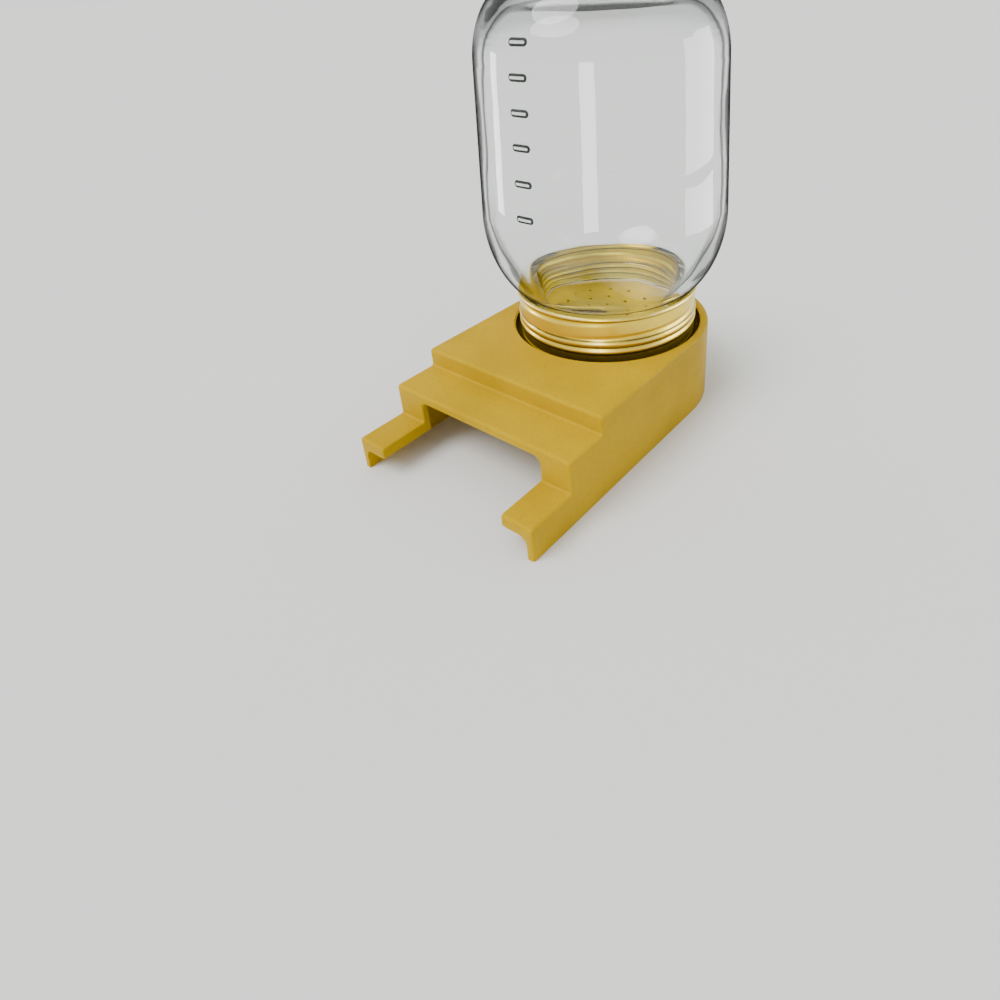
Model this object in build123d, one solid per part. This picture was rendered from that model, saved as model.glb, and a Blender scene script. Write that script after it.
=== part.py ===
"""Entrance feeder for a bee hive: an upturned screw-top jar standing in the socket of a low moulded base.

Millimetres, +Z up. The prongs that enter the hive point along -Y. Every piece is modelled round the jar's
axis and then moved, so that the origin is on the ground, under the centre of the whole feeder's box.
"""
import os
from math import sqrt

from build123d import *

# Base: lengths run forward from the jar's axis, heights up from the ground
BASE_WIDTH = 82.0
TOP_LENGTH = 60.5
TOP_HEIGHT = 32.0
SHELF_LENGTH = 78.0
SHELF_HEIGHT = 25.0
PRONG_LENGTH = 97.5
PRONG_HEIGHT = 12.7
PRONG_WIDTH = 12.7
WALL = 2.5
EDGE_RADIUS = 1.2
STEP_RADIUS = 0.8
SIDE_RADIUS = 1.0

# Bee opening in the front wall, and the hollow under each prong
OPENING_LIP = 3.5
OPENING_RADIUS = 3.0
OPENING_EDGE = 0.6
PRONG_ROOF = 4.2
PRONG_HOLLOW_RADIUS = 3.0

# Socket in the top plate: a shallow cup with a ledge, open in the middle
SOCKET_RADIUS = 37.8
SOCKET_DEPTH = 3.0
WINDOW_RADIUS = 31.0
SOCKET_EDGE = 0.6

# Closure: sheet-metal band, lid disc with feed holes, soft ring
SHEET = 0.6
BAND_HEIGHT = 19.4
BAND_RADIUS = 35.3
FLANGE_OPENING_RADIUS = 30.2
BAND_CORNER = 1.4
BEAD_HEIGHTS = (5.5, 8.5)
BEAD_WIDTH = 2.4
BEAD_RISE = 0.5
CURL_RADIUS = 0.75
LID_RADIUS = 33.8
LID_SHEET = 0.5
PANEL_RADIUS = 28.0
PANEL_RISE = 0.8
FEED_HOLE_RADIUS = 0.8
FEED_HOLE_CIRCLES = ((9.0, 6), (18.0, 12))
SEAL_THICKNESS = 0.8
SEAL_INNER_RADIUS = 30.0

# Jar: radii from its axis, heights up from the ground as it stands upside down
JAR_TOP = 157.5
JAR_RADIUS = 46.3
JAR_TAPER = 2.2
GLASS = 3.0
FINISH_RADIUS = 33.9
MOUTH_RADIUS = 30.0
RIM_RADIUS = 0.9
NECK_RADIUS = 35.3
NECK_GAP = 0.6
NECK_RISE = 0.6
SHOULDER_RISE = 31.0
SHOULDER_CORNER = 9.3
HEEL_RISE = 25.0
FOOT_RADIUS = 27.0
FOOT_WIDTH = 3.0
PUSH_UP = 3.0
BOTTOM_GLASS = 5.0
ROUND_FULLNESS = 0.6

# Levels of the stack in the socket, from the ledge up
LEDGE_Z = TOP_HEIGHT - SOCKET_DEPTH
LID_Z = LEDGE_Z + SHEET
SEAL_Z = LID_Z + LID_SHEET
RIM_Z = SEAL_Z + SEAL_THICKNESS
BAND_TOP_Z = LEDGE_Z + BAND_HEIGHT
NECK_Z = BAND_TOP_Z + NECK_GAP

HALF_WIDTH = BASE_WIDTH / 2
INNER_HALF = HALF_WIDTH - WALL
OPENING_HALF = HALF_WIDTH - PRONG_WIDTH
OPENING_HEIGHT = SHELF_HEIGHT - OPENING_LIP
AXIS_Y = (PRONG_LENGTH - JAR_RADIUS) / 2

# How far a cutter runs past a face, and how near counts as touching when edges are picked
CUT = 1.0
NEAR = 0.01


def stepped_outline(levels, back, ground):
    """Side view of a stepped form: its back, then each (length, height) level down towards the front."""
    points = [(back, ground), (back, levels[0][1])]
    heights = [height for _, height in levels[1:]] + [ground]
    for (length, height), below in zip(levels, heights):
        points += [(-length, height), (-length, below)]
    return make_face(Polyline(*points, close=True))


def rounded_back_plan(half_width, length):
    """Plan of the base: straight sides and front, and a half-round back about the jar's axis."""
    straight = Polyline((half_width, 0), (half_width, -length), (-half_width, -length), (-half_width, 0))
    back = ThreePointArc((-half_width, 0), (0, half_width), (half_width, 0))
    return make_face([*straight.edges(), back])


def stepped_solid(outline, half_width, length, ground):
    """The side view carried across the width and trimmed to the plan."""
    across = extrude(Plane.YZ * outline, half_width, both=True)
    plan = Pos(0, 0, ground) * rounded_back_plan(half_width, length)
    return across & extrude(plan, TOP_HEIGHT - ground)


def outer_block():
    """The base before it is hollowed, with moulded edges."""
    levels = [(TOP_LENGTH, TOP_HEIGHT), (SHELF_LENGTH, SHELF_HEIGHT), (PRONG_LENGTH, PRONG_HEIGHT)]
    outline = stepped_outline(levels, HALF_WIDTH, 0)
    crests = [v for v in outline.vertices() if (-v.X, v.Y) in levels]
    outline = fillet(crests, EDGE_RADIUS)
    hollows = [(-TOP_LENGTH, SHELF_HEIGHT), (-SHELF_LENGTH, PRONG_HEIGHT)]
    outline = fillet([v for v in outline.vertices() if (v.X, v.Y) in hollows], STEP_RADIUS)
    block = stepped_solid(outline, HALF_WIDTH, PRONG_LENGTH, 0)
    rims = [
        edge for edge in block.edges()
        if edge.bounding_box().max.Z > NEAR
        and (abs(edge.center().X) > HALF_WIDTH - NEAR or edge.bounding_box().max.Y > HALF_WIDTH - NEAR)
    ]
    return fillet(rims, SIDE_RADIUS)


def inner_hollow():
    """The chamber under the roof, open to the ground."""
    levels = [(TOP_LENGTH - WALL, TOP_HEIGHT - WALL), (SHELF_LENGTH - WALL, SHELF_HEIGHT - WALL)]
    outline = stepped_outline(levels, INNER_HALF, -CUT)
    return stepped_solid(outline, INNER_HALF, SHELF_LENGTH - WALL, -CUT)


def through_front(outline):
    """Carries an outline of the front view from behind the front wall to past the prongs' tips."""
    behind_wall = SHELF_LENGTH - WALL - CUT
    return extrude(Plane.XZ.offset(behind_wall) * outline, PRONG_LENGTH - behind_wall + CUT)


def cut_front(block):
    """One cut makes the bee opening in the front wall and the gap between the prongs; edges softened."""
    outline = make_face(
        Polyline(
            (-OPENING_HALF, -CUT),
            (-OPENING_HALF, OPENING_HEIGHT),
            (OPENING_HALF, OPENING_HEIGHT),
            (OPENING_HALF, -CUT),
            close=True,
        )
    )
    outline = fillet([v for v in outline.vertices() if v.Y > 0], OPENING_RADIUS)
    block = block - through_front(outline)
    front_edges = [
        edge for edge in block.edges()
        if edge.bounding_box().max.Y < NEAR - SHELF_LENGTH
        and NEAR < edge.bounding_box().max.Z < OPENING_HEIGHT + NEAR
        and abs(edge.center().X) < OPENING_HALF + NEAR
    ]
    return fillet(front_edges, OPENING_EDGE)


def prong_hollow():
    """The channel under the right prong and the wall behind it: thick roof, outer wall to the ground."""
    roof = PRONG_HEIGHT - PRONG_ROOF
    outline = make_face(
        Polyline(
            (OPENING_HALF - CUT, -CUT),
            (OPENING_HALF - CUT, roof),
            (INNER_HALF, roof),
            (INNER_HALF, -CUT),
            close=True,
        )
    )
    corner = [v for v in outline.vertices() if (v.X, v.Y) == (INNER_HALF, roof)]
    return through_front(fillet(corner, PRONG_HOLLOW_RADIUS))


def disc(radius, low, high):
    """A plain cylinder on the jar's axis between two heights."""
    return Pos(0, 0, low) * Cylinder(radius, high - low, align=(Align.CENTER, Align.CENTER, Align.MIN))


def feeder_base():
    """The moulded shell with its socket, bee opening and prongs."""
    prong = prong_hollow()
    shell = cut_front(outer_block()) - inner_hollow() - prong - mirror(prong, Plane.YZ)
    cup = disc(SOCKET_RADIUS + WALL, LEDGE_Z - WALL, TOP_HEIGHT)
    shell = shell + cup - disc(SOCKET_RADIUS, LEDGE_Z, TOP_HEIGHT + CUT)
    shell = shell - disc(WINDOW_RADIUS, LEDGE_Z - WALL - CUT, LEDGE_Z + CUT)
    mouth = [
        edge for edge in shell.edges().filter_by(GeomType.CIRCLE)
        if abs(edge.radius - SOCKET_RADIUS) < NEAR and edge.center().Z > LEDGE_Z + NEAR
    ]
    return chamfer(mouth, SOCKET_EDGE)


def rounded(start, corner, end):
    """A smooth curve from start to end that leaves and arrives along the lines to the corner."""
    near_start = tuple(a + ROUND_FULLNESS * (b - a) for a, b in zip(start, corner))
    near_end = tuple(a + ROUND_FULLNESS * (b - a) for a, b in zip(end, corner))
    return Bezier(start, near_start, near_end, end)


def turned(edges):
    """A solid of revolution from a closed half section drawn as (radius, height)."""
    return revolve(Plane.XZ * make_face(edges), Axis.Z)


def jar_side(inset, foot_radius, top, neck):
    """One wall line of the jar from the neck over the shoulder and the tapered body to the foot."""
    shoulder_z = NECK_Z + SHOULDER_RISE
    heel_z = JAR_TOP - HEEL_RISE
    taper = JAR_TAPER / (heel_z - shoulder_z)

    def body_radius(height):
        return JAR_RADIUS - inset - taper * (height - shoulder_z)

    shoulder_end = (body_radius(shoulder_z), shoulder_z)
    heel_start = (body_radius(heel_z), heel_z)
    corner_z = neck[1] + SHOULDER_CORNER
    shoulder = rounded(neck, (body_radius(corner_z), corner_z), shoulder_end)
    heel = rounded(heel_start, (body_radius(top), top), (foot_radius, top))
    return [shoulder, Line(shoulder_end, heel_start), heel]


def glass_jar():
    """The hollow jar, mouth down, with a domed-in foot on top."""
    outer_neck = (NECK_RADIUS, NECK_Z + NECK_RISE)
    inner_neck = (MOUTH_RADIUS, NECK_Z + GLASS)
    inner_top = JAR_TOP - PUSH_UP - BOTTOM_GLASS
    ring = FOOT_RADIUS - FOOT_WIDTH
    finish = Polyline(
        (MOUTH_RADIUS, RIM_Z + RIM_RADIUS),
        (MOUTH_RADIUS + RIM_RADIUS, RIM_Z),
        (FINISH_RADIUS - RIM_RADIUS, RIM_Z),
        (FINISH_RADIUS, RIM_Z + RIM_RADIUS),
        (FINISH_RADIUS, NECK_Z),
        outer_neck,
    )
    outside = jar_side(0, FOOT_RADIUS, JAR_TOP, outer_neck)
    foot = Line((FOOT_RADIUS, JAR_TOP), (ring, JAR_TOP))
    dome_radius = (ring**2 + PUSH_UP**2) / (2 * PUSH_UP)
    push_up = RadiusArc((ring, JAR_TOP), (0, JAR_TOP - PUSH_UP), dome_radius)
    axis = Line((0, JAR_TOP - PUSH_UP), (0, inner_top))
    floor = Line((0, inner_top), (ring, inner_top))
    inside = jar_side(GLASS, ring, inner_top, inner_neck)
    mouth = Line(inner_neck, (MOUTH_RADIUS, RIM_Z + RIM_RADIUS))
    return turned([*finish.edges(), *outside, foot, push_up, axis, floor, *inside, mouth])


def band_skirt(radius, high):
    """One face of the band's skirt, with its pressed beads, from the flange's bend up to a height."""
    edges = []
    start = (radius, LEDGE_Z + BAND_CORNER)
    for height in BEAD_HEIGHTS:
        foot = (radius, LEDGE_Z + height - BEAD_WIDTH / 2)
        crest = (radius + BEAD_RISE, LEDGE_Z + height)
        head = (radius, LEDGE_Z + height + BEAD_WIDTH / 2)
        edges += [Line(start, foot), ThreePointArc(foot, crest, head)]
        start = head
    return edges + [Line(start, (radius, high))]


def band_bend(radius, low):
    """The quarter bend from the flange into the skirt, for one face of the sheet."""
    bend = LEDGE_Z + BAND_CORNER - low
    sag = bend * (1 - sqrt(0.5))
    return ThreePointArc((radius - bend, low), (radius - sag, low + sag), (radius, low + bend))


def screw_band():
    """Sheet-metal band: flange under the lid, beaded skirt and a rolled curl along its upper edge."""
    inner = BAND_RADIUS - SHEET
    flange_end = inner - BAND_CORNER + SHEET
    curl_r = inner + CURL_RADIUS
    curl_z = BAND_TOP_Z - CURL_RADIUS
    curl_foot = curl_z - sqrt(CURL_RADIUS**2 - (curl_r - BAND_RADIUS) ** 2)
    curl_side = CURL_RADIUS * sqrt(0.5)
    return turned([
        Line((FLANGE_OPENING_RADIUS, LEDGE_Z), (BAND_RADIUS - BAND_CORNER, LEDGE_Z)),
        band_bend(BAND_RADIUS, LEDGE_Z),
        *band_skirt(BAND_RADIUS, curl_foot),
        ThreePointArc((BAND_RADIUS, curl_foot), (curl_r + curl_side, curl_z + curl_side), (inner, curl_z)),
        *band_skirt(inner, curl_z),
        band_bend(inner, LID_Z),
        Line((flange_end, LID_Z), (FLANGE_OPENING_RADIUS, LID_Z)),
        Line((FLANGE_OPENING_RADIUS, LID_Z), (FLANGE_OPENING_RADIUS, LEDGE_Z)),
    ])


def feed_lid():
    """Lid disc: flat seat round the edge, panel raised into the jar's mouth, punched with feed holes."""
    seat_radius = PANEL_RADIUS + PANEL_RISE
    top = LID_Z + LID_SHEET
    section = Polyline(
        (0, LID_Z + PANEL_RISE),
        (PANEL_RADIUS, LID_Z + PANEL_RISE),
        (seat_radius, LID_Z),
        (LID_RADIUS, LID_Z),
        (LID_RADIUS, top),
        (seat_radius + LID_SHEET / 2, top),
        (PANEL_RADIUS + LID_SHEET / 2, top + PANEL_RISE),
        (0, top + PANEL_RISE),
        close=True,
    )
    lid = turned(section.edges())
    drill = disc(FEED_HOLE_RADIUS, LID_Z, top + PANEL_RISE + CUT)
    places = [Location((0, 0, 0))]
    for radius, count in FEED_HOLE_CIRCLES:
        places += PolarLocations(radius, count).locations
    return lid - [place * drill for place in places]


def sealing_ring():
    """Soft ring on the lid's seat, pressed by the jar's rim."""
    return disc(LID_RADIUS, SEAL_Z, RIM_Z) - disc(SEAL_INNER_RADIUS, SEAL_Z - CUT, RIM_Z + CUT)


PIECES = {
    "feeder_base": feeder_base,
    "glass_jar": glass_jar,
    "screw_band": screw_band,
    "feed_lid": feed_lid,
    "sealing_ring": sealing_ring,
}

os.makedirs("parts", exist_ok=True)
for name, make in PIECES.items():
    export_step(Pos(0, AXIS_Y, 0) * make(), f"parts/{name}.step")
    print("wrote", name)
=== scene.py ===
# %% [markdown]
# # Entrance feeder
# An entrance feeder stands in front of a bee hive. Two prongs slide into the entrance, and an upturned jar of
# syrup stands in a round socket on the low base. The CAD model already holds every size and every joint, so
# this lesson only adds what the eye expects: moulded plastic, clear glass with a screw thread and a pressed
# metal band.

# %% Load the packed part
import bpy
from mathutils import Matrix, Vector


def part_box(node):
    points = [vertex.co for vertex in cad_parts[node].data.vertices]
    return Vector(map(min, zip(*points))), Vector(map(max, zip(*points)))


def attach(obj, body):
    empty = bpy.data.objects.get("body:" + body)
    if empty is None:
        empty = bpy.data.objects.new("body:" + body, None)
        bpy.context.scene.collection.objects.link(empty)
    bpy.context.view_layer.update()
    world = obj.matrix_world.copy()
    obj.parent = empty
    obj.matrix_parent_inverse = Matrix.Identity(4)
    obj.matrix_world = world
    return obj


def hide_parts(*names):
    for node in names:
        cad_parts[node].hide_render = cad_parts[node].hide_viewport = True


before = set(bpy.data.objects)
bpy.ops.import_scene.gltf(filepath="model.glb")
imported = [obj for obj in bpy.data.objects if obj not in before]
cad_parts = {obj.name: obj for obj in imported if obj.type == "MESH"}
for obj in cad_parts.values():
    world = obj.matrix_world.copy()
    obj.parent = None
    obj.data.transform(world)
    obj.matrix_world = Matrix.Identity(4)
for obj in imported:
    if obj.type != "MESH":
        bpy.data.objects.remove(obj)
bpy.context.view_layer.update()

# %% [markdown]
# ## Measure before modelling
# The jar, its band and its lid are all turned about one upright axis. Reading that axis and the main levels
# from the CAD nodes, instead of typing them again, keeps the new pieces in the same place as the solids they
# dress. Lengths below are written in millimetres, as on a drawing, and become metres where a vertex or a
# socket needs them.

# %% The jar's axis and the main levels
from math import atan2, ceil, hypot, pi, radians, sqrt

import bmesh
import bpy
from mathutils import Matrix, Vector, noise

MM = 0.001
jar_low, jar_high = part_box("glass_jar")
band_low, band_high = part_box("screw_band")
jar_axis = Vector(((jar_low.x + jar_high.x) / 2, (jar_low.y + jar_high.y) / 2, 0))
RIM = jar_low.z / MM
FOOT = jar_high.z / MM
LEDGE = band_low.z / MM
BAND_TOP = band_high.z / MM


def metres(*lengths):
    """Lengths in millimetres, turned into metres."""
    return tuple(length * MM for length in lengths)


print("axis", jar_axis, "rim", RIM, "foot", FOOT, "ledge", LEDGE, "band top", BAND_TOP)

# %% [markdown]
# ## Shader maths as Python
# A finish is a net of nodes, and nets are hard to read as code. One small class wraps a socket. Arithmetic on
# it adds Math nodes, with the reflected forms too, so `1 - mask` works. Every other node comes from one
# method, which sets the node's settings first and then its sockets, because some settings change which
# sockets there are.

# %% One class for sockets
class Socket:
    """A socket of a finish's node tree; arithmetic on it adds Math nodes and node() adds any other kind."""

    def __init__(self, tree, link=None):
        self.tree = tree
        self.link = link

    def node(self, kind, settings=None, sockets=None, output=0):
        made = self.tree.nodes.new("ShaderNode" + kind)
        for name, value in (settings or {}).items():
            if name == "stops":
                self.set_stops(made.color_ramp, value)
            else:
                setattr(made, name, value)
        for name, value in (sockets or {}).items():
            if isinstance(value, Socket):
                self.tree.links.new(value.link, made.inputs[name])
            else:
                made.inputs[name].default_value = value
        return Socket(self.tree, made.outputs[output] if made.outputs else None)

    def set_stops(self, ramp, stops):
        """Gives a colour ramp its stops, each a place and a grey."""
        while len(ramp.elements) < len(stops):
            ramp.elements.new(1)
        for element, (place, grey) in zip(ramp.elements, stops):
            element.position = place
            element.color = (grey, grey, grey, 1)

    def maths(self, operation, *values):
        return self.node("Math", {"operation": operation}, dict(enumerate(values)))

    def between(self, low, high):
        """0 below low, 1 above high, and a soft step in between."""
        limits = {"Value": self, "From Min": low, "From Max": high}
        return self.node("MapRange", {"interpolation_type": "SMOOTHSTEP"}, limits)

    def inside(self, rise, fall):
        """1 between two soft steps, each a pair of the values where the step begins and ends."""
        return self.between(*rise) * (1 - self.between(*fall))

    def larger(self, other):
        return self.maths("MAXIMUM", self, other)

    def __abs__(self):
        return self.maths("ABSOLUTE", self)

    def __add__(self, other):
        return self.maths("ADD", self, other)

    __radd__ = __add__

    def __sub__(self, other):
        return self.maths("SUBTRACT", self, other)

    def __rsub__(self, other):
        return self.maths("SUBTRACT", other, self)

    def __mul__(self, other):
        return self.maths("MULTIPLY", self, other)

    __rmul__ = __mul__


print("socket class ready:", [name for name in vars(Socket) if not name.startswith("__")])

# %% [markdown]
# ## Two helpers for finishes
# A finish starts as an empty material, and its colours are laid over each other through masks, as a painter
# lays glazes. Arithmetic would be shorter, but a Math node turns a colour grey, so colours meet in Mix nodes.

# %% Start a finish and mix its colours
def mix_colours(share, first, second):
    """Goes from the first colour to the second as share goes from 0 to 1."""
    return share.node("Mix", {"data_type": "RGBA"}, {0: share, 6: first, 7: second}, output=2)


def new_finish(name):
    """An empty material, and a socket to start its node tree from."""
    material = bpy.data.materials.new(name)
    material.use_nodes = True
    material.node_tree.nodes.clear()
    return material, Socket(material.node_tree)


print("helpers ready:", mix_colours.__name__, "and", new_finish.__name__)

# %% [markdown]
# ## Yellow moulded plastic: what lies where
# The base is one thin-walled moulding. Real mouldings are never one flat colour: the pigment drifts a little
# where the melt flowed and gathers in fine specks, handling polishes some patches, and corners rub paler,
# which here is partly wear and partly a painted highlight. Inner corners are darkened as painted shade.
# Painted pictures could show this, but patterns made from the place itself stay sharp from near by and need
# no unwrapping. Slow noise makes the drift, and fast noise the specks and the grain that a spark-eroded mould
# leaves. A Bevel node's rounded normal, compared with the true one, finds edges, and Ambient Occlusion finds
# inner corners. The gap round the closure is painted near black as shade; it lies between two radii about
# the jar's axis and just above the ledge that the closure stands on.

# %% Patterns on the base
EDGE_REACH = 1.2
CORNER_REACH = 6.0
GAP_STARTS = (34.9, 35.5)
GAP_ENDS = (37.9, 38.3)
GAP_SHADE_HEIGHT_STARTS = (LEDGE - 0.2, LEDGE)
GAP_SHADE_HEIGHT_ENDS = (LEDGE + 2.0, LEDGE + 2.5)
base_plastic, tree = new_finish("base_plastic")
place = tree.node("TexCoord", output="Object")
drift = tree.node("TexNoise", {}, {"Vector": place, "Scale": 28.0, "Detail": 3.0})
rub = tree.node("TexNoise", {}, {"Vector": place, "Scale": 140.0, "Detail": 6.0, "Roughness": 0.65})
specks = tree.node("TexNoise", {}, {"Vector": place, "Scale": 800.0, "Detail": 3.0, "Roughness": 0.6})
grain = tree.node("TexNoise", {}, {"Vector": place, "Scale": 1300.0, "Detail": 2.0})
rounded = tree.node("Bevel", {"samples": 4}, {"Radius": EDGE_REACH * MM})
true_normal = tree.node("NewGeometry", output="Normal")
compared = {0: rounded, 1: true_normal}
flatness = tree.node("VectorMath", {"operation": "DOT_PRODUCT"}, compared, output="Value")
# Edges are made paler below: partly wear, partly a painted highlight.
edge = (1 - flatness).between(0.02, 0.2) * rub.between(0.35, 0.6)
shut_in = 1 - tree.node("AmbientOcclusion", {"samples": 6}, {"Distance": CORNER_REACH * MM}, output="AO")
# Inner corners, found by Ambient Occlusion, are darkened below as painted shade.
corner_shade = shut_in.between(0.35, 0.95) * rub.between(0.3, 0.7)
about_axis = tree.node("Mapping", {}, {"Vector": place, "Location": -jar_axis})
arm = tree.node("VectorMath", {"operation": "MULTIPLY"}, {0: about_axis, 1: (1, 1, 0)})
radius = tree.node("VectorMath", {"operation": "LENGTH"}, {0: arm}, output="Value")
height = tree.node("SeparateXYZ", {}, {0: about_axis}, output="Z")
# The gap round the closure is made near black below: painted shade between the band and the socket.
gap_shade_mask = radius.inside(metres(*GAP_STARTS), metres(*GAP_ENDS))
gap_shade_mask = gap_shade_mask * height.inside(metres(*GAP_SHADE_HEIGHT_STARTS), metres(*GAP_SHADE_HEIGHT_ENDS))
print("patterns on the base take", len(base_plastic.node_tree.nodes), "nodes")

# %% [markdown]
# ## Yellow moulded plastic: colour and gloss
# The colours are laid on in this order: first the melt and its specks, then the rubbed edges with their
# painted highlight, the painted shade in inner corners and, on top, the painted shade in the gap round the
# closure. A bright sky would wash a deep yellow out through its gloss, so the gloss is low and has a tint of
# the same yellow.

# %% Finish for the base
YELLOW_DEEP = (0.47, 0.291, 0.0, 1)
YELLOW_BRIGHT = (0.545, 0.345, 0.0, 1)
YELLOW_WORN_HIGHLIGHT = (0.68, 0.47, 0.02, 1)
YELLOW_GLOSS = (1.0, 0.76, 0.08, 1)
SPECK_BROWN = (0.36, 0.2, 0.0, 1)
CORNER_SHADE_BROWN = (0.26, 0.145, 0.006, 1)
GAP_SHADE_BLACK = (0.012, 0.009, 0.004, 1)
melt = mix_colours(drift.between(0.35, 0.65), YELLOW_DEEP, YELLOW_BRIGHT)
specked = mix_colours(specks.between(0.48, 0.72) * 0.3, melt, SPECK_BROWN)
# Paler edges: partly wear and partly a painted highlight.
worn_and_highlit = mix_colours(edge * 0.55, specked, YELLOW_WORN_HIGHLIGHT)
# Darker inner corners: painted shade.
corner_shaded = mix_colours(corner_shade * 0.3, worn_and_highlit, CORNER_SHADE_BROWN)
# Near black in the gap round the closure: painted shade.
gap_shaded = mix_colours(gap_shade_mask * (0.88 + 0.12 * rub), corner_shaded, GAP_SHADE_BLACK)
plastic = tree.node("BsdfPrincipled", {}, {
    "Base Color": gap_shaded,
    "Roughness": 0.38 + 0.16 * rub - 0.08 * edge + 0.4 * gap_shade_mask,
    "Normal": tree.node("Bump", {}, {"Strength": 0.45, "Distance": 0.1 * MM, "Height": grain}),
    "IOR": 1.49,
    "Specular IOR Level": 0.14,
    "Specular Tint": YELLOW_GLOSS,
})
tree.node("OutputMaterial", {}, {"Surface": plastic})
print(base_plastic.name, "has", len(base_plastic.node_tree.nodes), "nodes")

# %% [markdown]
# ## Clear glass
# The jar is pressed and blown in a mould, so its surface is smooth but never quite true: slow waves bend what
# is seen through it. Iron in the glass takes a little red and blue from every millimetre, which is a Volume
# Absorption further down. Three shaders share the jar. The first is the clear glass with its smears, the
# second the black that glass shows along its outline, and the third bends light but has no gloss.

# %% Shaders for the jar
GLASS_IOR = 1.5
GLASS_TINT = (0.97, 0.985, 0.975, 1)
EDGE_BLACK = (0.02, 0.023, 0.022, 1)
jar_glass, tree = new_finish("jar_glass")
place = tree.node("TexCoord", output="Object")
waves = tree.node("TexNoise", {}, {"Vector": place, "Scale": 55.0, "Detail": 1.0})
smears = tree.node("TexNoise", {}, {"Vector": place, "Scale": 90.0, "Detail": 5.0, "Roughness": 0.6})
glass = tree.node("BsdfPrincipled", {}, {
    "Base Color": GLASS_TINT,
    "Roughness": 0.05 * smears.between(0.5, 0.8),
    "Normal": tree.node("Bump", {}, {"Strength": 0.25, "Distance": 0.6 * MM, "Height": waves}),
    "IOR": GLASS_IOR,
    "Transmission Weight": 1.0,
})
dark = tree.node("BsdfPrincipled", {}, {
    "Base Color": EDGE_BLACK,
    "Roughness": 0.25 + 0.2 * smears,
    "Specular IOR Level": 0.0,
})
bent = tree.node("BsdfRefraction", {}, {"Color": GLASS_TINT, "Roughness": 0.0, "IOR": GLASS_IOR})
print(jar_glass.name, "starts with", len(jar_glass.node_tree.nodes), "nodes")

# %% [markdown]
# ## Dark edges in the glass
# Real glass looks clear where it is seen straight on and dark along its outline, because there it bends the
# dark corners of a room into view. This room has no dark corners, so a Layer Weight mixes the black in. At
# the bends this happens on the outside, at grazing angles. On the upright wall it happens on the inner face,
# past the slant where glass begins to mirror from within, so that the outline stays thin when seen from above
# too; the outer face there only bends light. A finer line right at that slant shows how thick the wall is.
# The flanks of the raised marks get the black too, as painted shade. Attributes on the mesh say where the
# inner wall and the flanks are.

# %% Where the glass is dark
MIRROR_SLANT = 1 - sqrt(1 - 1 / GLASS_IOR ** 2)
UPRIGHT_STARTS = (RIM + 38, RIM + 54)
UPRIGHT_ENDS = (FOOT - 22, FOOT - 8)
mark_edge = tree.node("Attribute", {"attribute_name": "mark_edge"}, output="Fac")
inner_wall = tree.node("Attribute", {"attribute_name": "inner_wall"}, output="Fac")
slant = tree.node("LayerWeight", {}, {"Blend": 0.5}, output="Facing")
from_within = tree.node("NewGeometry", output="Backfacing")
past_mirror = slant - MIRROR_SLANT
height = tree.node("SeparateXYZ", {}, {0: place}, output="Z")
upright = height.inside(metres(*UPRIGHT_STARTS), metres(*UPRIGHT_ENDS))
grazing = slant.between(0.68, 0.86) * (1 - from_within)
edge_on = slant.between(0.85, 0.95) * (1 - from_within)
outer_line = 0.96 * edge_on.larger(grazing * (1 - upright))
wall_line = 0.97 * past_mirror.between(0.016, 0.028) * upright
fine_line = 0.9 * past_mirror.inside((-0.005, 0.0), (0.004, 0.013))
inner_lines = wall_line.larger(fine_line) * inner_wall * from_within
# The flanks of the raised marks are painted dark: painted shade.
mark_flank_shade = 0.95 * mark_edge.between(0.08, 0.4)
darkness = outer_line.larger(inner_lines).larger(mark_flank_shade)
bending = 0.95 * grazing * upright
plain_face = upright * (1 - from_within) * (1 - edge_on) * (1 - mark_edge.between(0.0, 0.1))
print("glass mirrors from within past a slant of", round(MIRROR_SLANT, 4))

# %% [markdown]
# ## Putting the glass together
# The clear glass comes first in the mix, because an export takes its gloss and its bump from the shader that
# it meets first. Glass also stops lamps' rays in a path tracer, which would leave the closure black, so those
# rays meet a Transparent shader instead.

# %% Finish for the jar
LAMP_TINT = (0.96, 0.975, 0.965, 1)
IRON_TINT = (0.62, 0.74, 0.68, 1)
IRON_DENSITY = 22.0
edges = tree.node("MixShader", {}, {0: plain_face, 1: dark, 2: bent})
edged = tree.node("MixShader", {}, {0: 1 - (1 - darkness) * (1 - bending), 1: glass, 2: edges})
clear = tree.node("BsdfTransparent", {}, {"Color": LAMP_TINT})
lamp_ray = tree.node("LightPath", output="Is Shadow Ray")
surface = tree.node("MixShader", {}, {0: lamp_ray, 1: edged, 2: clear})
iron = tree.node("VolumeAbsorption", {}, {"Color": IRON_TINT, "Density": IRON_DENSITY})
tree.node("OutputMaterial", {}, {"Surface": surface, "Volume": iron})
print(jar_glass.name, "has", len(jar_glass.node_tree.nodes), "nodes")

# %% [markdown]
# ## Gold lacquer on pressed metal
# The screw band and the lid are thin tinplate under a gold lacquer. Rolling leaves fine lines round the band,
# the crests of its beads rub bright, the creases beside them are darkened as painted shade, and the lacquer
# is a clear coat over the metal. Stretching noise along the axis makes the lines. The distance from the jar's
# axis says which points stand proud, and the height says where the creases are.

# %% Finish for the band and the lid
BAND_GOLD = (0.84, 0.62, 0.05, 1)
LID_GOLD = (0.90, 0.68, 0.10, 1)
TARNISH = 0.86
BARE_METAL = (0.82, 0.74, 0.50, 1)
CREASE_SHADE_BROWN = (0.05, 0.032, 0.006, 1)
CREASES = (4.25, 7.0, 9.75, 17.7)
CREASE_HALF = 0.6
WEAR_FADE = 0.3
BEAD_CREST = 35.62
BEYOND_LID = 40.0


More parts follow.
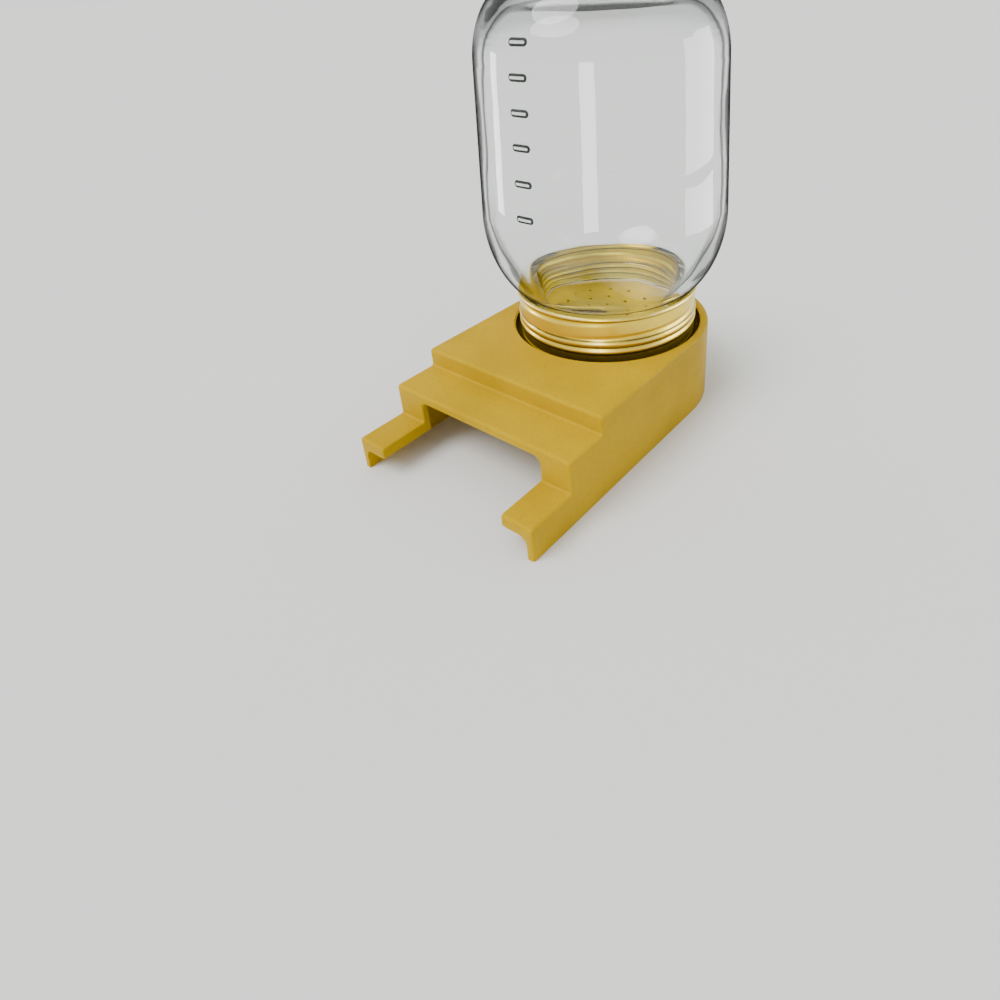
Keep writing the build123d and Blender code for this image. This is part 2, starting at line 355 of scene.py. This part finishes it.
def gold_lacquer(name, gold, proud, line_scale, creases=()):
    """Lacquered tinplate, rubbed through beyond the radius proud, with painted shade at creases above the
    ledge.
    """
    material, tree = new_finish(name)
    place = tree.node("TexCoord", output="Object")
    about_axis = tree.node("Mapping", {}, {"Vector": place, "Location": -jar_axis, "Scale": (1, 1, 0)})
    radius = tree.node("VectorMath", {"operation": "LENGTH"}, {0: about_axis}, output="Value")
    height = tree.node("SeparateXYZ", {}, {0: place}, output="Z")
    stretched = tree.node("Mapping", {}, {"Vector": place, "Scale": line_scale})
    lines = tree.node("TexNoise", {}, {"Vector": stretched, "Scale": 1.0, "Detail": 4.0})
    patches = tree.node("TexNoise", {}, {"Vector": place, "Scale": 120.0, "Detail": 5.0, "Roughness": 0.6})
    worn = radius.between(*metres(proud, proud + WEAR_FADE)) * patches.between(0.42, 0.62)
    dull_gold = tuple(TARNISH * part for part in gold[:3]) + (1,)
    colour = mix_colours(patches.between(0.3, 0.75), gold, dull_gold)
    colour = mix_colours(worn * 0.5, colour, BARE_METAL)
    # Each crease is darkened towards brown below as painted shade.
    for crease in creases:
        away = height - (LEDGE + crease) * MM
        line = 1 - abs(away).between(0.0, CREASE_HALF * MM)
        colour = mix_colours(line * patches.between(0.1, 0.5), colour, CREASE_SHADE_BROWN)
    metal = tree.node("BsdfPrincipled", {}, {
        "Base Color": colour,
        "Metallic": 1.0,
        "Roughness": 0.24 + 0.16 * patches + 0.08 * lines,
        "Normal": tree.node("Bump", {}, {"Strength": 0.08, "Distance": 0.08 * MM, "Height": lines}),
        "Coat Weight": 0.5 - 0.5 * worn,
        "Coat Roughness": 0.12,
    })
    tree.node("OutputMaterial", {}, {"Surface": metal})
    print(material.name, "has", len(material.node_tree.nodes), "nodes")
    return material


band_lacquer = gold_lacquer("band_lacquer", BAND_GOLD, BEAD_CREST, (45, 45, 3500), CREASES)
lid_lacquer = gold_lacquer("lid_lacquer", LID_GOLD, BEYOND_LID, (600, 600, 600))

# %% [markdown]
# ## Sealing compound
# The soft ring between the lid and the glass is a buff rubbery compound, dull and slightly mottled. Only its
# edge shows, through the glass, so a short finish is enough.

# %% Finish for the sealing ring
BUFF_DARK = (0.50, 0.37, 0.22, 1)
BUFF_LIGHT = (0.66, 0.52, 0.34, 1)
seal_compound, tree = new_finish("seal_compound")
place = tree.node("TexCoord", output="Object")
mottle = tree.node("TexNoise", {}, {"Vector": place, "Scale": 400.0, "Detail": 4.0})
rubber = tree.node("BsdfPrincipled", {}, {
    "Base Color": mix_colours(mottle, BUFF_DARK, BUFF_LIGHT),
    "Roughness": 0.62 + 0.2 * mottle,
    "Normal": tree.node("Bump", {}, {"Strength": 0.2, "Distance": 0.1 * MM, "Height": mottle}),
})
tree.node("OutputMaterial", {}, {"Surface": rubber})
print(seal_compound.name, "has", len(seal_compound.node_tree.nodes), "nodes")

# %% [markdown]
# ## Tools for turned pieces
# The jar and the band are turned forms: half a section, spun once round the axis. The section is a wire of a
# few corners, and a vertex bevel rounds each corner, as a file would. In per cent, the bevel runs along the
# edges beside a corner by that share of their length and makes a long oval curve, which suits a jar's
# shoulder.

# %% Wire, bevel and spin
SEGMENTS_ROUND = 216
SAME_RADIUS = 0.01
MERGE_REACH = 0.005


def polar(point):
    """Angle, and radius and height in millimetres, about the jar's axis."""
    arm = point - jar_axis
    return atan2(arm.y, arm.x), arm.xy.length / MM, arm.z / MM


def outline(corners, closed=False):
    """A wire of (radius, height) corners in millimetres, standing beside the jar's axis."""
    bm = bmesh.new()
    verts = [bm.verts.new(jar_axis + Vector((radius, 0, height)) * MM) for radius, height in corners]
    following = verts[1:] + (verts[:1] if closed else [])
    for pair in zip(verts, following):
        bm.edges.new(pair)
    return bm, verts


def soften(bm, verts, reach, segments, unit="OFFSET"):
    """Rounds corners of a wire; reach is in metres, or in per cent of the edges beside each corner."""
    bmesh.ops.bevel(
        bm, geom=verts, offset=reach, offset_type=unit, segments=segments,
        profile=0.5, affect="VERTICES", material=-1,
    )


def add_rows(bm, radius, cuts):
    """Divides the longest upright edge of a wire at a radius in millimetres, for detail that follows."""
    upright = [
        edge for edge in bm.edges
        if all(abs(polar(vert.co)[1] - radius) < SAME_RADIUS for vert in edge.verts)
    ]
    longest = max(upright, key=lambda edge: edge.calc_length())
    bmesh.ops.subdivide_edges(bm, edges=[longest], cuts=cuts)


def turn(bm):
    """Spins the wire once round the axis, closes the seam and the poles, and points the faces outwards."""
    bmesh.ops.spin(
        bm, geom=bm.verts[:] + bm.edges[:], cent=jar_axis, axis=(0, 0, 1),
        angle=2 * pi, steps=SEGMENTS_ROUND, use_merge=True,
    )
    bmesh.ops.remove_doubles(bm, verts=bm.verts[:], dist=MERGE_REACH * MM)
    bmesh.ops.recalc_face_normals(bm, faces=bm.faces[:])


print("a turn has", SEGMENTS_ROUND, "steps")

# %% [markdown]
# ## From a mesh to a piece
# Threads and marks are raised by moving vertices straight away from the axis, which keeps the mesh closed. A
# finished mesh keeps its place in its vertices and its object stays at the origin, as the CAD nodes do, so a
# finish that reads Object coordinates lies the same way on both. Each piece rides the body of the node that
# it stands for.

# %% Raise a vertex and make a piece
LEVEL = Vector((1, 1, 0))
SHARP_ANGLE = radians(50)


def push_out(vert, distance):
    """Moves a vertex straight away from the axis by a distance in millimetres."""
    arm = (vert.co - jar_axis) * LEVEL
    vert.co += arm.normalized() * distance * MM


def make_piece(name, bm, finish, body, node):
    """Turns a bmesh into a piece at the origin that rides a body and stands for a CAD node."""
    mesh = bpy.data.meshes.new(name)
    bm.to_mesh(mesh)
    bm.free()
    mesh.shade_smooth()
    mesh.set_sharp_from_angle(angle=SHARP_ANGLE)
    mesh.materials.append(finish)
    made = bpy.data.objects.new(name, mesh)
    bpy.context.scene.collection.objects.link(made)
    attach(made, body)
    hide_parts(node)
    print(name, "has", len(mesh.vertices), "vertices and", len(mesh.polygons), "faces")


print("edges stay sharp past", round(SHARP_ANGLE, 2), "radians")

# %% [markdown]
# ## The screw thread
# The glass carries a raised helix and the band is rolled inwards between its turns, so that the two hold each
# other. Both use one function, which is 1 on a helix's crest and fades to 0 beside it and at both ends. The
# pitch is the 6.35 mm of a common jar thread, which is also how far the jar rises in one turn of its joint.

# %% How near a point is to a helix
THREAD_PITCH = 6.35
THREAD_FADE = 0.15


def ease(share):
    """A soft step from 0 to 1 that holds still outside that range."""
    share = max(0, min(1, share))
    return share * share * (3 - 2 * share)


def thread(angle, height, start_angle, start_height, turns, half_width):
    """1 on the crest of a rising right-hand helix, 0 beyond its flanks and its ends."""
    share = ((angle - start_angle) / (2 * pi)) % 1
    strength = 0
    for lap in range(ceil(turns)):
        along = share + lap
        flank = 1 - abs(height - start_height - THREAD_PITCH * along) / half_width
        end = min(1, along / THREAD_FADE, (turns - along) / THREAD_FADE)
        strength = max(strength, ease(flank) * max(0, end))
    return strength


print("crest", thread(0, 40, 0, 40, 2, 1.5), "beside it", thread(0, 42, 0, 40, 2, 1.5))

# %% [markdown]
# ## The jar: outline and spin
# The jar stands on its mouth. Its section runs from the middle of the domed foot down the outside, round the
# rim and up the inside. It could be made from two cylinders and a boolean, but one closed section gives a
# wall of true thickness, which glass needs, because light bends at both of its faces. The heel and the
# shoulder are single corners here, and the bevel makes their long curves.

# %% Section of the jar
THREADED_RADIUS = 33.9
MOUTH_RADIUS = 30.0
DOME_HEIGHT = FOOT - 3.0
HEEL_START = FOOT - 25
BELLY = RIM + 49.1
INNER_FOOT = FOOT - 4.5
INNER_DOME = FOOT - 6.5
WHOLE_EDGES = 99.5
DOME_SHARE = 60
RIM_ROUND = 0.9
NECK_ROUND = 2.0
THREAD_ROWS = 36
jar_section = {
    "middle": (0, DOME_HEIGHT),
    "dome": (19, DOME_HEIGHT),
    "foot ring inside": (24, FOOT),
    "foot ring outside": (27, FOOT),
    "heel": (43.05, FOOT),
    "wall under the heel": (44.1, HEEL_START),
    "belly": (46.24, BELLY),
    "shoulder": (47.5, RIM + 27.6),
    "neck": (35.3, RIM + 18.7),
    "end of the threaded part": (THREADED_RADIUS, RIM + 18.1),
    "rim outside": (THREADED_RADIUS, RIM),
    "rim inside": (MOUTH_RADIUS, RIM),
    "inner neck": (MOUTH_RADIUS, RIM + 18.6),
    "inner shoulder": (44.5, RIM + 29.1),
    "inner belly": (43.3, BELLY),
    "inner wall under the heel": (41.1, HEEL_START),
    "inner heel": (40.6, INNER_FOOT),
    "inner foot ring": (25, INNER_FOOT),
    "inner dome": (20, INNER_DOME),
    "inner middle": (0, INNER_DOME),
}
bm, verts = outline(jar_section.values())
corner = dict(zip(jar_section, verts))
long_curves = [corner[name] for name in ("heel", "shoulder", "inner shoulder", "inner heel")]
short_curves = [corner[name] for name in ("foot ring inside", "rim outside", "rim inside")]
soften(bm, long_curves, WHOLE_EDGES, segments=16, unit="PERCENT")
soften(bm, [corner["dome"], corner["inner dome"]], DOME_SHARE, segments=6, unit="PERCENT")
soften(bm, short_curves, RIM_ROUND * MM, segments=4)
soften(bm, [corner["inner neck"]], NECK_ROUND * MM, segments=5)
add_rows(bm, THREADED_RADIUS, THREAD_ROWS)
turn(bm)
print("jar:", len(bm.faces), "faces after the spin")

# %% [markdown]
# ## The jar: thread
# The part of the jar that goes into the band carries a raised thread. A helix could be swept and joined on,
# but then the glass would have a face inside its wall, where light would bend once more. Moving the vertices
# of the rows that lie under the thread keeps the wall whole.

# %% Thread on the glass
THREAD_RISE = 0.55
THREADED_START = RIM + 1
THREADED_END = RIM + 18
ON_THREADED = 0.05
for vert in bm.verts:
    angle, radius, height = polar(vert.co)
    if abs(radius - THREADED_RADIUS) < ON_THREADED and THREADED_START < height < THREADED_END:
        near = thread(angle, height, start_angle=radians(159), start_height=34.0, turns=1.6, half_width=1.6)
        push_out(vert, THREAD_RISE * near)
print("thread raised by", THREAD_RISE, "mm on the glass")

# %% [markdown]
# ## The jar: level marks
# Six short raised marks up the front show how much syrup is left. Planes cut rows into the wall there, the
# faces of those rows are divided into a fine grid, and the grid rises inside a rounded bar. An inset would be
# quicker, but it would leave square ends, which a mould avoids. How far up its flank a vertex lies is kept as
# an attribute, for the painted shade on the flanks in the glass finish.

# %% Level marks
MARK_LEVELS = (86.7, 98.5, 110.0, 120.6, 131.0, 140.9)
MARK_ANGLE = radians(-89)
MARK_REACH = 2.45
MARK_RADIUS = 1.4
MARK_SOFT = 1.15
MARK_RISE = 0.4
FIELD_HEIGHT = 4.0
FIELD_HALF_ANGLE = radians(7.5)
FIELD_ROWS = 3
FIELD_CUTS = 7
FRONT_NORMAL = -0.5


def in_field(point, normal):
    """Whether a place on the jar's outside lies in the field round one of the marks."""
    angle, _, height = polar(point)
    beside = any(abs(height - level) < FIELD_HEIGHT / 2 for level in MARK_LEVELS)
    return beside and abs(angle - MARK_ANGLE) < FIELD_HALF_ANGLE and normal.y < FRONT_NORMAL


for level in MARK_LEVELS:
    for row in range(FIELD_ROWS + 1):
        height = level + FIELD_HEIGHT * (row / FIELD_ROWS - 0.5)
        everything = bm.verts[:] + bm.edges[:] + bm.faces[:]
        bmesh.ops.bisect_plane(bm, geom=everything, plane_co=(0, 0, height * MM), plane_no=(0, 0, 1))
field = set()
for face in bm.faces:
    if in_field(face.calc_center_median(), face.normal):
        field.update(face.edges)
bmesh.ops.subdivide_edges(bm, edges=list(field), cuts=FIELD_CUTS, use_grid_fill=True)
mark_edge = bm.verts.layers.float.new("mark_edge")
bm.normal_update()
for vert in bm.verts:
    if in_field(vert.co, vert.normal):
        angle, radius, height = polar(vert.co)
        beyond_end = max(0, abs(angle - MARK_ANGLE) * radius - MARK_REACH)
        aside = min(hypot(beyond_end, height - level) for level in MARK_LEVELS)
        share = ease((MARK_RADIUS - aside) / MARK_SOFT)
        push_out(vert, MARK_RISE * share)
        vert[mark_edge] = 4 * share * (1 - share)
print(len(MARK_LEVELS), "marks raised on", len(bm.faces), "faces")

# %% [markdown]
# ## The jar: uneven inner wall
# The outside of a blown jar takes the form of its mould, but the inside is never quite round. A bump in the
# finish would only bend reflections, so here slow noise moves the inner wall itself, by a few tenths of a
# millimetre, and lets the ring where the shoulder turns into the neck wander up and down. A second attribute
# says where the inner wall is.

# %% Uneven inner wall
WAVES_PER_METRE = 45
WALL_WAVE = 0.25
NECK_WAVE = 0.35
NECK_WAVE_TOP = RIM + 45
NECK_WAVE_FADE = 20
RING_WAVE = 0.6
RING_HEIGHT = RIM + 19.5
RING_REACH = 8.0
WAVE_LOW = RIM + 11
WAVE_HIGH = FOOT - 9
FOOT_RADIUS = 20
LINE_START = RIM + 20.0
LINE_FADE = 10.0
inner_wall = bm.verts.layers.float.new("inner_wall")
bm.normal_update()
for vert in bm.verts:
    _, radius, height = polar(vert.co)
    faces_axis = vert.normal.dot((vert.co - jar_axis) * LEVEL) < 0
    if radius > FOOT_RADIUS and faces_axis and WAVE_LOW < height < WAVE_HIGH:
        low_down = ease((NECK_WAVE_TOP - height) / NECK_WAVE_FADE)
        near_ring = ease(1 - abs(height - RING_HEIGHT) / RING_REACH)
        up_down = noise.noise(vert.co * LEVEL * WAVES_PER_METRE)
        in_out = noise.noise(vert.co * WAVES_PER_METRE)
        push_out(vert, (WALL_WAVE + NECK_WAVE * low_down) * in_out)
        vert.co.z += RING_WAVE * MM * near_ring * up_down
        vert[inner_wall] = ease((height - LINE_START) / LINE_FADE)
make_piece("jar", bm, jar_glass, "jar", "glass_jar")

# %% [markdown]
# ## The screw band
# The band is one ring of thin sheet: a flange that holds the lid, a skirt with two stiffening beads, a rolled
# thread and an outward curl that keeps the cut edge away from fingers. A single line with a Solidify would do
# for plain sheet, but the curl is a closed roll, so the whole section is drawn as a ring, outside up and
# inside down, and the sheet has a thickness everywhere.

# %% Section of the band
SHEET = 0.6
SKIRT = 35.3
FLANGE_OPENING = 30.2
BEADS = (5.5, 8.5)
BEAD_HALF = 1.25
BEAD_CORNER = 0.75
ROLL_START = LEDGE + 9.9
CURL = 0.75
ROLL_END = BAND_TOP - 2 * CURL
ROLL_ROWS = 22
CREST_PLACES = (2, 5)
CREST_SHARE = 55
CURL_ROUND = 0.74
BEND_OUTSIDE = 1.4
BEND_INSIDE = 0.8


def skirt_line(radius, bend):
    """One face of the skirt, from its bend into the flange to under the curl, with its two beads."""
    line = [(radius, bend)]
    for bead in BEADS:
        middle = LEDGE + bead
        line += [(radius, middle - BEAD_HALF), (radius + BEAD_CORNER, middle), (radius, middle + BEAD_HALF)]
    return line + [(radius, ROLL_START), (radius, ROLL_END)]


inner = SKIRT - SHEET
outside = skirt_line(SKIRT, LEDGE)
inside = skirt_line(inner, LEDGE + SHEET)
curl = [(inner + 2 * CURL, ROLL_END), (inner + 2 * CURL, BAND_TOP), (inner, BAND_TOP)]
section = [(FLANGE_OPENING, LEDGE), *outside, *curl, *reversed(inside), (FLANGE_OPENING, LEDGE + SHEET)]
bm, verts = outline(section, closed=True)
corner = dict(zip(section, verts))
crests = [corner[line[place]] for line in (outside, inside) for place in CREST_PLACES]
soften(bm, [corner[point] for point in curl], CURL_ROUND * MM, segments=5)
soften(bm, crests, CREST_SHARE, segments=5, unit="PERCENT")
soften(bm, [corner[outside[0]]], BEND_OUTSIDE * MM, segments=5)
soften(bm, [corner[inside[0]]], BEND_INSIDE * MM, segments=5)
add_rows(bm, SKIRT, ROLL_ROWS)
add_rows(bm, inner, ROLL_ROWS)
turn(bm)
print("band:", len(bm.faces), "faces after the spin")

# %% [markdown]
# ## The band: rolled thread
# A roller presses the thread into a band from outside, so the groove that shows there is the ridge that grips
# the glass. Both faces of the sheet therefore move inwards together, with the same function that raised the
# thread on the glass.

# %% Rolled thread on the band
ROLL_DEPTH = 0.45
ROLL_MARGIN = 0.1
ON_SKIRT = 0.05
for vert in bm.verts:
    angle, radius, height = polar(vert.co)
    on_skirt = min(abs(radius - SKIRT), abs(radius - inner)) < ON_SKIRT
    if on_skirt and ROLL_START < height < ROLL_END - ROLL_MARGIN:
        near = thread(angle, height, start_angle=radians(-88), start_height=39.2, turns=1.12, half_width=1.5)
        push_out(vert, -ROLL_DEPTH * near)
make_piece("band", bm, band_lacquer, "closure", "screw_band")

# %% [markdown]
# ## CAD pieces that stay
# The base, the lid with its feed holes and the sealing ring already have the right shapes as solids, with
# their moulded and pressed edges. They keep their meshes and only get the finishes made above.

# %% Dress the base, the lid and the ring
finishes = {"feeder_base": base_plastic, "feed_lid": lid_lacquer, "sealing_ring": seal_compound}
for node, finish in finishes.items():
    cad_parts[node].material_slots[0].material = finish
    print(node, "wears", finish.name)

# %% [markdown]
# ## Floor
# A plain pale floor shows where the feeder stands. It is wide enough that its edge looks like a horizon, and
# matt, so that it takes a soft shadow and mirrors nothing.

# %% Floor
FLOOR_RADIUS = 9.0
FLOOR_PAINT = (0.84, 0.84, 0.825, 1)
bm = bmesh.new()
bmesh.ops.create_circle(bm, cap_ends=True, radius=FLOOR_RADIUS, segments=96)
floor_mesh = bpy.data.meshes.new("floor")
bm.to_mesh(floor_mesh)
bm.free()
floor = bpy.data.objects.new("floor", floor_mesh)
bpy.context.scene.collection.objects.link(floor)
floor_paint, tree = new_finish("floor_paint")
matt = tree.node("BsdfDiffuse", {}, {"Color": FLOOR_PAINT})
tree.node("OutputMaterial", {}, {"Surface": matt})
floor_mesh.materials.append(floor_paint)
print("floor radius", FLOOR_RADIUS, "m")

# %% [markdown]
# ## Sky
# The sky is one wide soft light. An even sky would leave rounded metal looking flat, so it is a little dimmer
# half way up than at the horizon and overhead, and the band shows bright and dark rings.

# %% Sky
SKY_STOPS = [(0.0, 1.3), (0.06, 1.22), (0.2, 0.85), (0.45, 0.68), (1.0, 1.15)]
world = bpy.data.worlds.new("studio")
world.use_nodes = True
world.node_tree.nodes.clear()
bpy.context.scene.world = world
sky = Socket(world.node_tree)
upward = sky.node("SeparateXYZ", {}, {0: sky.node("TexCoord", output="Generated")}, output="Z")
glow = sky.node("ValToRGB", {"stops": SKY_STOPS}, {0: upward})
sky.node("OutputWorld", {}, {"Surface": sky.node("Background", {}, {"Color": glow})})
print("sky with", len(SKY_STOPS), "stops")

# %% [markdown]
# ## Lamps
# One broad sun, with an angle as wide as a large softbox, gives the base a lighter top than sides and a soft
# shadow. Glass only shows where it mirrors something, so upright lamps stand near the floor to be seen in it
# as streaks; they light nothing else.

# %% Lamps
def hang_lamp(name, light, place, aim):
    """Puts a light at a place in millimetres about the jar's axis, turned to another place."""
    made = bpy.data.objects.new(name, light)
    made.location = jar_axis + Vector(place) * MM
    toward = (jar_axis + Vector(aim) * MM) - made.location
    made.rotation_euler = toward.to_track_quat("-Z", "Y").to_euler()
    made.visible_camera = False
    bpy.context.scene.collection.objects.link(made)
    print(name, "gives", round(light.energy, 2))
    return made


def streak(name, size, place, brightness):
    """A lamp that is only there to be seen in the glass; brightness is its radiance."""
    light = bpy.data.lights.new(name, "AREA")
    light.shape = "RECTANGLE"
    light.size, light.size_y = metres(*size)
    light.energy = brightness * pi * light.size * light.size_y
    made = hang_lamp(name, light, place, (0, 0, place[2]))
    made.visible_diffuse = False
    made.visible_transmission = False


key = bpy.data.lights.new("key", "SUN")
key.energy = 2.6
key.angle = radians(35)
hang_lamp("key", key, place=(-250, -520, 800), aim=(0, 0, 0))
streak("front_streak", size=(62, 148), place=(127, -273, 88), brightness=14.0)
streak("side_streak", size=(50, 160), place=(-297, -144, 82), brightness=14.0)
streak("window_high", size=(160, 146), place=(210, 136, 127), brightness=8.0)
streak("window_low", size=(160, 34), place=(210, 136, 27), brightness=8.0)

# %% [markdown]
# ## Camera
# The camera stands in front and to the right, a little above the jar's foot, and looks down. Its place and
# angles were worked out from where the base's corners lie in the picture. A small lens shift keeps the feeder
# high in the frame, without tilting the camera and bending its upright lines.

# %% Place the camera
CAMERA_PLACE = (149.9, -206.5, 160.7)
CAMERA_YAW = radians(38.57)
CAMERA_PITCH = radians(27.93)
CAMERA_ROLL = radians(-2.67)
SENSOR_WIDTH = 36
FOCAL_SHARE = 0.6912
LENS_SHIFT = (-0.08, -0.17)
camera_data = bpy.data.cameras.new("camera")
camera_data.sensor_width = SENSOR_WIDTH
camera_data.lens = SENSOR_WIDTH * FOCAL_SHARE
camera_data.shift_x, camera_data.shift_y = LENS_SHIFT
camera_data.clip_start = 0.01
camera = bpy.data.objects.new("camera", camera_data)
turned = Matrix.Rotation(CAMERA_YAW, 4, "Z") @ Matrix.Rotation(pi / 2 - CAMERA_PITCH, 4, "X")
spot = Matrix.Translation(jar_axis + Vector(CAMERA_PLACE) * MM)
camera.matrix_world = spot @ turned @ Matrix.Rotation(CAMERA_ROLL, 4, "Z")
bpy.context.scene.collection.objects.link(camera)
bpy.context.scene.camera = camera
print("camera at", CAMERA_PLACE, "mm about the jar's axis, lens", round(camera_data.lens, 2), "mm")

# %% [markdown]
